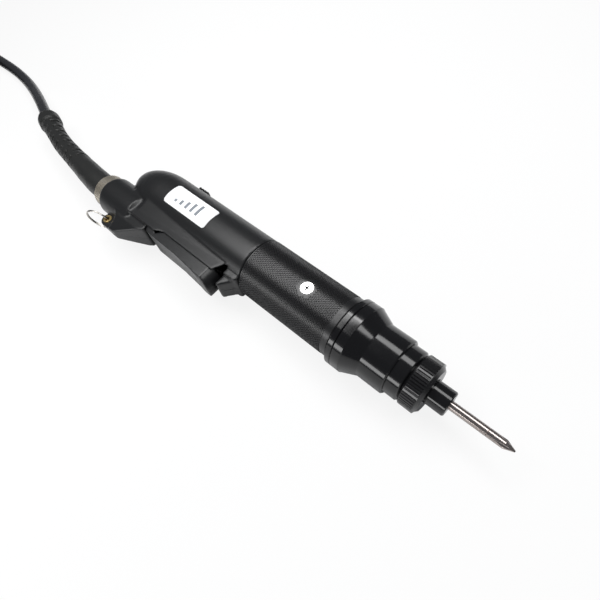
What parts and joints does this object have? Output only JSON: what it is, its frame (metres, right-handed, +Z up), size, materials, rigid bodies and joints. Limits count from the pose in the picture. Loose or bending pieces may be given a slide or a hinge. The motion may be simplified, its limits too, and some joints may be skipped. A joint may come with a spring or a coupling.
{
  "type": "electric torque screwdriver",
  "caption": "Straight electric screwdriver with textured grip, knurled torque adjusting nut, lever start, direction switch, bit chuck and plug-in cord.",
  "frame": {"origin": "on the bit's axis where its plain shank leaves the chuck collar's front face", "axes": "+X along the bit out of the tool, +Z up out of the label, -Y towards the start lever; the tool lies on its side"},
  "size_m": [0.5497, 0.1056, 0.0338],
  "materials": {
    "polished_steel": "polished, slightly tinted",
    "black_gloss_metal": "gloss black oxide",
    "spring_steel": "bright",
    "steel": "ground",
    "bright_steel": "nickel plated",
    "black_knurl": "gloss black",
    "bronze": "sintered",
    "grip_plastic": "textured",
    "dark_steel": "blackened",
    "alloy": "machined",
    "nylon": "moulded",
    "brass": "turned",
    "ferrite": "matt",
    "copper_winding": "enamelled",
    "carbon": "pressed carbon",
    "housing_plastic": "satin black",
    "label_film": "white film",
    "circuit_board": "solder mask",
    "switch_plastic": "moulded",
    "plunger_red": "moulded",
    "lever_plastic": "satin black",
    "ring_steel": "bright nickel",
    "satin_nickel": "satin nickel",
    "contact_gold": "gold flash",
    "plug_plastic": "moulded",
    "boot_rubber": "moulded rubber",
    "cord_jacket": "satin jacket",
    "tie_fabric": "hook and loop"
  },
  "bodies": {
    "body": {"clutch_tube": "black_gloss_metal", "nose_cone": "black_gloss_metal", "end_ring": "black_gloss_metal", "grip_sleeve": "grip_plastic", "screw_cups": "dark_steel", "grip_screws": "bright_steel", "gear_case": "alloy", "ring_gear": "nylon", "motor_can": "alloy", "motor_magnets": "ferrite", "motor_brushes": "carbon", "motor_end_cap": "nylon", "housing_label_side": "housing_plastic", "housing_far_side": "housing_plastic", "housing_screws": "dark_steel", "label": "label_film", "circuit_board": "circuit_board", "start_switch": "switch_plastic", "lever_pin": "steel", "lever_spring": "spring_steel", "direction_switch": "switch_plastic", "hanger_eyelet": "brass", "cord_socket": "satin_nickel", "socket_pins": "contact_gold", "plug_core": "plug_plastic", "strain_relief": "boot_rubber", "cord": "cord_jacket", "cord_coil": "cord_jacket", "coil_tie": "tie_fabric", "end_plug": "plug_plastic", "end_plug_pins": "contact_gold", "torque_spring": "spring_steel", "thrust_washer": "steel"},
    "rotor": {"motor_shaft": "steel", "motor_rotor": "copper_winding", "commutator": "copper_winding", "sun_gear": "brass"},
    "carrier": {"planet_carrier": "steel", "clutch_driver": "steel", "clutch_balls": "bright_steel"},
    "planet_1": {"planet_gear_1": "steel"},
    "planet_2": {"planet_gear_2": "steel"},
    "planet_3": {"planet_gear_3": "steel"},
    "spindle": {"spindle": "steel", "clutch_cam": "steel", "spindle_clip": "steel", "bit_balls": "bright_steel", "bit": "polished_steel"},
    "collar": {"chuck_collar": "black_gloss_metal", "collar_spring": "spring_steel"},
    "seat": {"spring_seat": "steel", "spindle_bush": "bronze"},
    "nut": {"torque_nut": "black_knurl"},
    "lever": {"lever": "lever_plastic"},
    "plunger": {"switch_plunger": "plunger_red"},
    "direction": {"direction_knob": "lever_plastic"},
    "hanger": {"hanger_ring": "ring_steel"},
    "plug_nut": {"plug_nut": "satin_nickel"},
    "end_nut": {"end_plug_nut": "satin_nickel"}
  },
  "joints": [
    {"name": "rotor_turn", "type": "hinge", "parent": "body", "child": "rotor", "pos_m": [-0.06, 0, 0], "axis": [1, 0, 0], "continuous": true},
    {"name": "carrier_turn", "type": "hinge", "parent": "body", "child": "carrier", "pos_m": [-0.04, 0, 0], "axis": [1, 0, 0], "continuous": true},
    {"name": "planet_1_turn", "type": "hinge", "parent": "carrier", "child": "planet_1", "pos_m": [-0.0463, 0, 0.006], "axis": [1, 0, 0], "continuous": true},
    {"name": "planet_2_turn", "type": "hinge", "parent": "carrier", "child": "planet_2", "pos_m": [-0.0463, -0.0052, -0.003], "axis": [1, 0, 0], "continuous": true},
    {"name": "planet_3_turn", "type": "hinge", "parent": "carrier", "child": "planet_3", "pos_m": [-0.0463, 0.0052, -0.003], "axis": [1, 0, 0], "continuous": true},
    {"name": "spindle_turn", "type": "hinge", "parent": "body", "child": "spindle", "pos_m": [-0.02, 0, 0], "axis": [1, 0, 0], "continuous": true},
    {"name": "collar_slide", "type": "slide", "parent": "spindle", "child": "collar", "axis": [1, 0, 0], "range_m": [0, 0.003], "stiffness_N_per_m": 600, "springref_m": -0.002, "deforming": ["collar_spring"]},
    {"name": "seat_slide", "type": "slide", "parent": "body", "child": "seat", "axis": [1, 0, 0], "range_m": [0, 0.003]},
    {"name": "nut_turn", "type": "hinge", "parent": "seat", "child": "nut", "pos_m": [-0.013, 0, 0], "axis": [1, 0, 0], "range_deg": [0, 1080]},
    {"name": "lever_press", "type": "hinge", "parent": "body", "child": "lever", "pos_m": [-0.168, -0.019, 0], "axis": [0, 0, 1], "range_deg": [0, 3.2], "stiffness_Nm_per_rad": 0.6, "springref_deg": -5.73, "deforming": ["lever_spring"]},
    {"name": "plunger_slide", "type": "slide", "parent": "body", "child": "plunger", "axis": [0, 1, 0], "range_m": [0, 0.0014]},
    {"name": "direction_slide", "type": "slide", "parent": "body", "child": "direction", "axis": [1, 0, 0], "range_m": [-0.002, 0.002]},
    {"name": "hanger_swing", "type": "hinge", "parent": "body", "child": "hanger", "pos_m": [-0.1996, -0.0303, 0], "axis": [0, 0, 1], "range_deg": [-20, 90]},
    {"name": "plug_nut_turn", "type": "hinge", "parent": "body", "child": "plug_nut", "pos_m": [-0.216, -0.0163, 0], "axis": [1, 0, 0], "continuous": true},
    {"name": "end_nut_turn", "type": "hinge", "parent": "body", "child": "end_nut", "pos_m": [-0.36, -0.073, -0.0079], "axis": [1, 0, 0], "continuous": true}
  ],
  "couplings": [
    {"joint": "carrier_turn", "follows": "rotor_turn", "ratio": 0.2},
    {"joint": "planet_1_turn", "follows": "rotor_turn", "ratio": -0.53333},
    {"joint": "planet_2_turn", "follows": "rotor_turn", "ratio": -0.53333},
    {"joint": "planet_3_turn", "follows": "rotor_turn", "ratio": -0.53333},
    {"joint": "spindle_turn", "follows": "rotor_turn", "ratio": 0.2},
    {"joint": "seat_slide", "follows": "nut_turn", "m_per_rad": 0.00015915},
    {"joint": "plunger_slide", "follows": "lever_press", "m_per_rad": 0.022}
  ]
}
